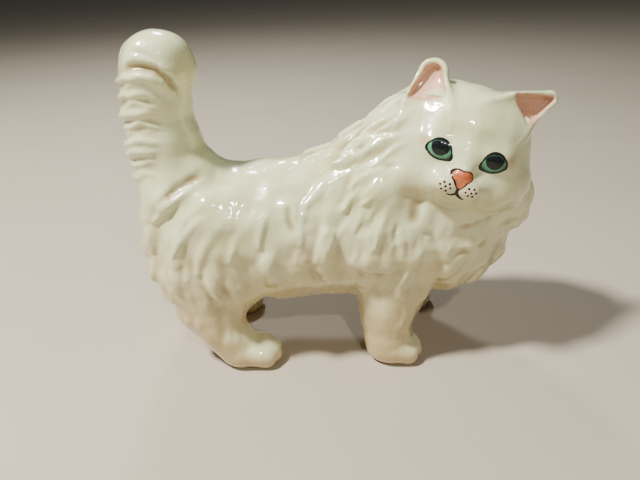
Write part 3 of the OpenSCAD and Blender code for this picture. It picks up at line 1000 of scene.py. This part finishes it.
def outward(faces, flat):
    """Faces turned so that, seen from the front of the face, they run the way that faces outwards"""
    f = faces[len(faces) // 3]
    a, b, c = (flat[i] for i in f[:3])
    turn = (b[0] - a[0]) * (c[1] - a[1]) - (b[1] - a[1]) * (c[0] - a[0])
    return faces if turn > 0 else [g[::-1] for g in faces]


def joined(sheet, more):
    """Two flat sheets as one: their points, faces and rims"""
    flat, faces, rim = more
    faces = [[i + len(sheet[0]) for i in f] for f in outward(faces, flat)]
    return np.vstack([sheet[0], flat]), sheet[1] + faces, np.append(sheet[2], rim)


def eyes(face, materials):
    """Painted eyes: a dark rim drawn out to both corners, a green iris, and a pupil under the upper lid"""
    count = 96
    for side, name in ((-1, "right"), (1, "left")):
        centre = np.array([side * EYE_X, EYE_Z])
        corners = [(math.degrees(math.atan2(z, side * x)), math.hypot(x, z)) for x, z in EYE_CORNERS]
        outer = smooth_ring(corners, count)
        angle = np.arange(count) * 2 * math.pi / count
        thick = 0.72 + 0.42 * np.clip(np.sin(angle), 0, 1) + 0.5 * ramp(outer, 4.6, 6.0)
        inner = outer - thick
        pupil = np.minimum(PUPIL_R + 0.35 * np.clip(np.sin(angle), 0, 1), inner - 0.06)
        iris_out = np.maximum(inner, pupil + 0.06)
        flat, faces, rim = ring_sheet(iris_out, outer, centre, 5)
        enamel_sheet(face, flat, outward(faces, flat), rim, 0.07, name + "_eye_rim_enamel",
                     name + "_eye_rim", "black_enamel", materials["black"])
        flat, faces, rim = ring_sheet(pupil, iris_out, centre, 8)
        rel = flat - centre
        low = np.clip(-(rel[:, 1]) / 4.2, 0, 1)
        left = np.clip(-rel[:, 0] / 4.0, -1, 1) * 0.5 + 0.5
        near = np.clip(1.5 - (np.hypot(rel[:, 0], rel[:, 1]) - PUPIL_R) / 0.9, 0, 1)
        enamel_sheet(face, flat, outward(faces, flat), rim * 0.6, 0.05, name + "_iris_enamel",
                     name + "_iris", "iris_enamel", materials["iris"],
                     {"low": low, "bright": np.clip(0.45 * near + 0.55 * left, 0, 1)})
        flat, faces, rim = ring_sheet(None, pupil, centre, 10)
        enamel_sheet(face, flat, outward(faces, flat), rim, 0.10, name + "_pupil_enamel",
                     name + "_pupil", "black_enamel", materials["black"])


NOSE_HALF = [(0.0, 2.3), (1.3, 2.5), (2.6, 2.2), (3.35, 1.2), (3.0, 0.1), (1.9, -0.9), (1.2, -2.1),
             (0.6, -3.0), (0.0, -3.25)]


def nose_and_mouth(face, materials):
    """Heart-shaped nose with a fine dark outline, the line below it and the two sides of the mouth"""
    centre = np.array([0.1, -11.4])
    line = NOSE_HALF + [(-x, z) for x, z in NOSE_HALF[-2:0:-1]]
    corners = [(math.degrees(math.atan2(z, x)), math.hypot(x, z)) for x, z in line]
    outer = smooth_ring(corners, 72)
    flat, faces, rim = ring_sheet(None, outer, centre, 9)
    enamel_sheet(face, flat, outward(faces, flat), rim, 0.10, "nose_enamel", "nose", "nose_colour",
                 materials["nose"])
    angle = np.arange(72) * 2 * math.pi / 72
    width = 0.46 + 0.30 * np.clip(-np.cos(angle), 0, 1)
    flat, faces, rim = ring_sheet(outer + 0.01, outer + 0.01 + width, centre, 2)
    faces = outward(faces, flat)
    lip = np.array([0.0, -16.4])
    strokes = [  # points, width at start and end
        ([(0.0, -14.6), (-0.1, -15.4), tuple(lip)], 0.56, 0.60),
        ([tuple(lip), (-0.8, -17.0), (-1.9, -17.4), (-3.0, -17.3)], 0.58, 0.20),
        ([tuple(lip), (0.8, -17.1), (1.8, -17.7), (2.9, -18.0)], 0.64, 0.24),
    ]
    for points, w0, w1 in strokes:
        flat, faces, rim = joined((flat, faces, rim), brush_stroke(np.array(points), w0, w1))
    enamel_sheet(face, flat, faces, rim, 0.05, "nose_mouth_line_enamel", "nose_mouth_line",
                 "line_enamel", materials["line"])


def brush_stroke(points, w0, w1, steps=8):
    """Flat points, faces and rim of a tapering stroke through points"""
    dense = []
    for i in range(len(points) - 1):
        ends = points[max(i - 1, 0)], points[i], points[i + 1], points[min(i + 2, len(points) - 1)]
        dense += [curve(t, *ends) for t in np.linspace(0, 1, steps, endpoint=False)]
    dense = np.array(dense + [points[-1]])
    tangent = np.gradient(dense, axis=0)
    tangent /= np.maximum(np.linalg.norm(tangent, axis=1), 1e-9)[:, None]
    normal = np.stack([-tangent[:, 1], tangent[:, 0]], 1)
    width = np.linspace(w0, w1, len(dense))[:, None]
    flat = np.concatenate([dense - normal * width, dense, dense + normal * width])
    count = len(dense)
    rim = np.concatenate([np.zeros(count), np.ones(count), np.zeros(count)])
    faces = [[a, a + 1, a + 1 + count, a + count]
             for row in (0, count) for a in range(row, row + count - 1)]
    return flat, faces, rim


def whisker_dots(face, materials):
    """Seven dots on each whisker pad, in rows of two, three and two"""
    for side, name in ((-1, "right"), (1, "left")):
        sheet = np.zeros((0, 2)), [], np.zeros(0)
        lean = math.radians(8 * side)
        for dx, dz in ((-0.85, 1.2), (0.9, 1.2), (-1.75, 0), (0, 0), (1.7, 0), (-0.9, -1.15), (0.8, -1.2)):
            x = dx * math.cos(lean) - dz * math.sin(lean)
            z = dx * math.sin(lean) + dz * math.cos(lean)
            dx, dz = x + rng.uniform(-0.1, 0.1), z + rng.uniform(-0.1, 0.1)
            size = rng.uniform(0.34, 0.46) * np.ones(14) * rng.uniform(0.92, 1.08, 14)
            sheet = joined(sheet, ring_sheet(None, size, np.array([side * PAD_X + dx, PAD_Z + dz]), 2))
        enamel_sheet(face, *sheet, 0.05, name + "_whisker_dots_enamel", name + "_whisker_dots",
                     "line_enamel", materials["line"])


def ear_linings(points, quads, normals, materials):
    """Thin colour in each ear's hollow, over the inner side of its rim, where it fades into the glaze"""
    for side, name in ((-1, "right"), (1, "left")):
        local = to_head(points)
        ear, hollow = ear_fields(local, side)
        skull = head_field(local)
        in_ear = to_ear(local, side)
        near = (hollow < 0.9) & ((ear < 1.2) | (in_ear[:, 1] > -4.6)) & (skull > -0.5) & (in_ear[:, 2] > -8)
        pick = near[quads].all(1) & ((normals[quads].mean(1) @ HEAD_AXES)[:, 1] < 0.35)
        own = quads[pick]
        used = np.unique(own)
        index = np.full(len(points), -1)
        count = len(used)
        index[used] = np.arange(count)
        faces = shell(index[own].tolist(), count)
        p, n = points[used], normals[used]
        colour = 1 - ramp(hollow[used], 0.10, 0.60)
        colour *= ramp(in_ear[used, 2], -2.6, -0.9) * ramp(in_ear[used, 1], -4.4, -3.2)
        new_object(name + "_inner_ear_colour", np.vstack([p + n * 0.03, p - n * SINK]), faces,
                   name + "_inner_ear", materials["ear"], np.vstack([n, n]),
                   {"colour": np.concatenate([colour, colour]), "hollow": np.zeros(2 * count),
                    "painted_low_shade": np.zeros(2 * count)})


# ---------------------------------------------------------------- materials


class Nodes:
    """Short helper for a node material"""

    def __init__(self, name):
        self.material = bpy.data.materials.new(name)
        self.material.use_nodes = True
        self.tree = self.material.node_tree
        self.shader = self.tree.nodes["Principled BSDF"]

    def add(self, kind, **values):
        node = self.tree.nodes.new(kind)
        for key, value in values.items():
            if key in node.inputs:
                node.inputs[key].default_value = value
            else:
                setattr(node, key, value)
        return node

    def put(self, value, socket):
        """A number or colour onto a socket, or the output of another node"""
        if isinstance(value, (int, float, tuple)):
            socket.default_value = value
        else:
            self.link(value, socket)

    def link(self, a, b):
        self.tree.links.new(a, b)

    def position(self):
        """The piece's own coordinates in mm"""
        coords = self.add("ShaderNodeTexCoord")
        scale = self.add("ShaderNodeVectorMath", operation="SCALE", Scale=1 / MM)
        self.link(coords.outputs["Object"], scale.inputs[0])
        return scale.outputs[0]

    def noise(self, place, scale, detail):
        node = self.add("ShaderNodeTexNoise", Scale=scale, Detail=detail, Roughness=0.5)
        self.link(place, node.inputs["Vector"])
        return node.outputs["Fac"]

    def math(self, operation, a, b):
        node = self.add("ShaderNodeMath", operation=operation)
        for socket, value in zip(node.inputs, (a, b)):
            self.put(value, socket)
        return node.outputs[0]

    def map(self, value, lo, hi, out_lo, out_hi):
        node = self.add("ShaderNodeMapRange", interpolation_type="SMOOTHSTEP", **{
            "From Min": lo, "From Max": hi, "To Min": out_lo, "To Max": out_hi})
        self.link(value, node.inputs["Value"])
        return node.outputs["Result"]

    def mix(self, factor, a, b):
        node = self.add("ShaderNodeMix", data_type="RGBA")
        sockets = {(s.name, s.type): s for s in node.inputs}
        for name, kind, value in (("Factor", "VALUE", factor), ("A", "RGBA", a), ("B", "RGBA", b)):
            self.put(value, sockets[name, kind])
        return next(s for s in node.outputs if s.type == "RGBA")

    def mark(self, name):
        node = self.add("ShaderNodeAttribute", attribute_name=name, attribute_type="GEOMETRY")
        return node.outputs["Fac"]

    def bump(self, height, distance_mm, strength):
        node = self.add("ShaderNodeBump", Strength=strength, Distance=distance_mm * MM)
        self.link(height, node.inputs["Height"])
        self.link(node.outputs["Normal"], self.shader.inputs["Normal"])
        self.link(node.outputs["Normal"], self.shader.inputs["Coat Normal"])


def rgb(red, green, blue):
    """Linear colour from 0-255 display values"""
    def linear(v):
        v = v / 255.0
        return v / 12.92 if v <= 0.04045 else ((v + 0.055) / 1.055) ** 2.4
    return (linear(red), linear(green), linear(blue), 1.0)


def near_spot(m, place, spot, lo, hi):
    """1 near a spot given in the head's own axes (mm), 0 beyond hi"""
    world = from_head(np.array([spot]))[0] + SPINE
    gap = m.add("ShaderNodeVectorMath", operation="DISTANCE")
    m.link(place, gap.inputs[0])
    gap.inputs[1].default_value = tuple(world)
    return m.map(gap.outputs["Value"], lo, hi, 1.0, 0.0)


def body_colour(m, place):
    """Cream-white glaze: slow cloudy tint, darker and browner in the hollows, partly from glaze pooling and
    partly as painted shade, painted shade low down and under the chin and cheeks, airbrushed muzzle and eye
    corners
    """
    cloudy = m.noise(place, 0.045, 2.0)
    fine = m.noise(place, 0.9, 4.0)
    colour = m.mix(m.map(cloudy, 0.35, 0.65, 0.0, 1.0), rgb(228, 232, 183), rgb(221, 223, 168))
    colour = m.mix(m.map(fine, 0.3, 0.75, 0.0, 0.35), colour, rgb(222, 218, 182))
    # Painted shade and bounce light: darker and browner low on the body, less on faces that look up
    colour = m.mix(m.mark("painted_low_shade"), colour, rgb(196, 168, 116))
    # Hollows darker and browner: partly glaze pooling, partly painted shade in the recesses
    colour = m.mix(m.map(m.mark("hollow"), 0.06, 0.75, 0.0, 0.85), colour, rgb(168, 144, 96))
    # Painted shade under the chin and lower cheeks, where the head overhangs the chest
    for spot in ((-12.5, -12.5, -20.5), (-1.0, -16.5, -22.0), (11.0, -14.0, -19.5)):
        shade = near_spot(m, place, spot, 1.5, 9.0)
        colour = m.mix(m.math("MULTIPLY", shade, 0.42), colour, rgb(186, 150, 98))
    muzzle = m.math("MAXIMUM", near_spot(m, place, (-4.4, -19.5, -15.0), 1.2, 4.2),
                    near_spot(m, place, (4.4, -19.5, -15.0), 1.2, 4.2))
    colour = m.mix(m.math("MULTIPLY", muzzle, 0.45), colour, rgb(222, 178, 160))
    for side in (-1, 1):
        corner = near_spot(m, place, (side * 14.2, -15.0, -2.4), 0.6, 4.2)
        grain = m.map(m.noise(place, 3.0, 2.0), 0.3, 0.7, 0.6, 1.0)
        colour = m.mix(m.math("MULTIPLY", m.math("MULTIPLY", corner, grain), 0.55), colour,
                       rgb(176, 130, 84))
        lid = near_spot(m, place, (side * 9.0, -17.5, 0.6), 0.8, 4.0)
        colour = m.mix(m.math("MULTIPLY", lid, 0.22), colour, rgb(150, 130, 110))
    return colour


def glaze_finish(m, place, coat=1.0, under=0.35):
    """Glassy surface with the faint waviness of thick glaze; under is the gloss of the layer below it"""
    m.shader.inputs["IOR"].default_value = 1.5
    m.shader.inputs["Specular IOR Level"].default_value = under
    m.shader.inputs["Coat Weight"].default_value = coat
    m.shader.inputs["Coat Roughness"].default_value = 0.03
    m.shader.inputs["Coat IOR"].default_value = 1.5
    rough = m.map(m.noise(place, 0.35, 3.0), 0.3, 0.7, 0.22, 0.38)
    m.link(rough, m.shader.inputs["Roughness"])
    ripple = m.noise(place, 0.22, 2.0)
    peel = m.noise(place, 1.1, 2.0)
    height = m.math("ADD", m.math("MULTIPLY", ripple, 1.0), m.math("MULTIPLY", peel, 0.12))
    m.bump(height, 0.35, 0.6)


def glazed_body():
    m = Nodes("cream_glaze")
    place = m.position()
    colour = body_colour(m, place)
    geometry = m.add("ShaderNodeSeparateXYZ")
    m.link(place, geometry.inputs[0])
    sole = m.map(geometry.outputs["Z"], 0.25, 1.1, 1.0, 0.0)
    clay = m.mix(m.noise(place, 1.5, 5.0), rgb(226, 214, 190), rgb(196, 178, 150))
    colour = m.mix(sole, colour, clay)
    m.link(colour, m.shader.inputs["Base Color"])
    m.shader.inputs["Subsurface Weight"].default_value = 0.05
    m.shader.inputs["Subsurface Scale"].default_value = 0.001
    glaze_finish(m, place)
    return m.material


def ear_colour():
    """Salmon underglaze colour, sprayed, that fades at the rim"""
    m = Nodes("salmon_ear_colour")
    place = m.position()
    spray = m.noise(place, 1.6, 4.0)
    pink = m.mix(m.map(spray, 0.3, 0.7, 0.0, 1.0), rgb(230, 186, 156), rgb(214, 162, 128))
    colour = m.mix(m.mark("colour"), body_colour(m, place), pink)
    m.link(colour, m.shader.inputs["Base Color"])
    glaze_finish(m, place)
    return m.material


def brushed(name, scale, detail, lo, hi, thin, thick, *finish):
    """Enamel whose colour varies between thin and thick with the strokes of the brush"""
    m = Nodes(name)
    place = m.position()
    strokes = m.map(m.noise(place, scale, detail), lo, hi, 0.0, 1.0)
    m.link(m.mix(strokes, thin, thick), m.shader.inputs["Base Color"])
    glaze_finish(m, place, *finish)
    return m.material


def black_enamel():
    return brushed("black_eye_enamel", 2.2, 3.0, 0.35, 0.7, rgb(14, 16, 18), rgb(34, 40, 42), 0.55, 0.1)


def nose_enamel():
    return brushed("salmon_nose_enamel", 1.8, 4.0, 0.3, 0.7, rgb(212, 116, 70), rgb(184, 92, 54))


def line_enamel():
    return brushed("dark_brown_line_enamel", 2.5, 3.0, 0.3, 0.75, rgb(26, 18, 18), rgb(58, 42, 36), 0.5, 0.1)


def iris_enamel():
    """Green enamel, minty beside the pupil and darker below and towards the rim"""
    m = Nodes("green_iris_enamel")
    place = m.position()
    brush = m.noise(place, 3.0, 3.0)
    colour = m.mix(m.mark("bright"), rgb(22, 60, 44), rgb(88, 158, 116))
    colour = m.mix(m.map(m.mark("low"), 0.55, 1.0, 0.0, 0.55), colour, rgb(52, 110, 84))
    colour = m.mix(m.map(brush, 0.4, 0.75, 0.0, 0.3), colour, rgb(150, 205, 160))
    m.link(colour, m.shader.inputs["Base Color"])
    glaze_finish(m, place, 0.6, 0.1)
    return m.material


def floor_material():
    m = Nodes("pale_floor")
    place = m.position()
    m.link(m.mix(m.noise(place, 0.01, 3.0), rgb(190, 179, 160), rgb(180, 169, 149)),
           m.shader.inputs["Base Color"])
    m.link(m.map(m.noise(place, 0.4, 4.0), 0.3, 0.7, 0.55, 0.7), m.shader.inputs["Roughness"])
    return m.material


# ---------------------------------------------------------------- stage, light and camera


def floor():
    size = 8.0
    mesh = bpy.data.meshes.new("floor")
    corners = [(-size, -size, 0), (size, -size, 0), (size, size, 0), (-size, size, 0)]
    mesh.from_pydata(corners, [], [(0, 1, 2, 3)])
    mesh.materials.append(floor_material())
    linked("floor", mesh)


def area_light(name, place, target, size, watts, colour):
    data = bpy.data.lights.new(name, "AREA")
    data.shape = "DISK"
    data.size = size
    data.energy = watts
    data.color = colour
    obj = linked(name, data)
    obj.location = place
    obj.rotation_euler = (Vector(target) - Vector(place)).to_track_quat("-Z", "Y").to_euler()


def lights():
    """A key lamp above the left shoulder of the viewer, a window behind, and a weak room light"""
    target = (0, 0, 0.06)
    area_light("key", (-0.42, -0.14, 0.78), target, 0.10, 17.0, (1.0, 0.98, 0.93))
    area_light("lamp", (0.12, -0.60, 0.70), target, 0.05, 2.2, (1.0, 0.95, 0.88))
    area_light("window", (-0.15, 0.60, 0.75), target, 0.12, 3.0, (0.95, 0.98, 1.0))
    world = bpy.data.worlds.new("studio")
    world.use_nodes = True
    world.node_tree.nodes["Background"].inputs["Color"].default_value = (0.93, 0.93, 0.95, 1)
    world.node_tree.nodes["Background"].inputs["Strength"].default_value = 0.07
    bpy.context.scene.world = world


def camera():
    """Looks down at 28 degrees from in front of the cat's right side, with a slight roll"""
    pitch, roll = math.radians(28), math.radians(-1.6)
    forward = Vector((0, math.cos(pitch), -math.sin(pitch)))
    level = Vector((1, 0, 0))
    upright = level.cross(forward)
    right = level * math.cos(roll) + upright * math.sin(roll)
    up = upright * math.cos(roll) - level * math.sin(roll)
    data = bpy.data.cameras.new("camera")
    data.sensor_width = 36.0
    data.lens = 29.25
    data.clip_start = 0.01
    obj = linked("camera", data)
    turn = Matrix((right, up, -forward)).transposed().to_4x4()
    obj.matrix_world = Matrix.Translation(Vector((-0.006, -0.186, 0.145))) @ turn
    bpy.context.scene.camera = obj


def cat():
    materials = {"body": glazed_body(), "ear": ear_colour(), "black": black_enamel(), "iris": iris_enamel(),
                 "nose": nose_enamel(), "line": line_enamel()}
    points, quads, edges = cat_skin()
    label = owners(points, quads)
    owner = np.zeros(len(points), int)
    owner[quads.ravel()] = np.repeat(label, 4)
    skin = Skin(points, quads, edges)
    moved, hollow = relief(skin, owner)
    normals = vertex_normals(moved, quads)
    # Painted shade low on the body, less on faces that look up, standing in for the shade and bounce light
    # there
    painted_low_shade = 0.9 * ramp(-moved[:, 2], -76, -8) * (1 - 0.85 * ramp(normals[:, 2], 0.0, 0.6))
    split_pieces(moved, quads, label, normals, {"hollow": hollow, "painted_low_shade": painted_low_shade}, materials["body"])
    ear_linings(moved, quads, normals, materials)
    face = Face(moved, quads, label)
    eyes(face, materials)
    nose_and_mouth(face, materials)
    whisker_dots(face, materials)


cat()
floor()
lights()
camera()
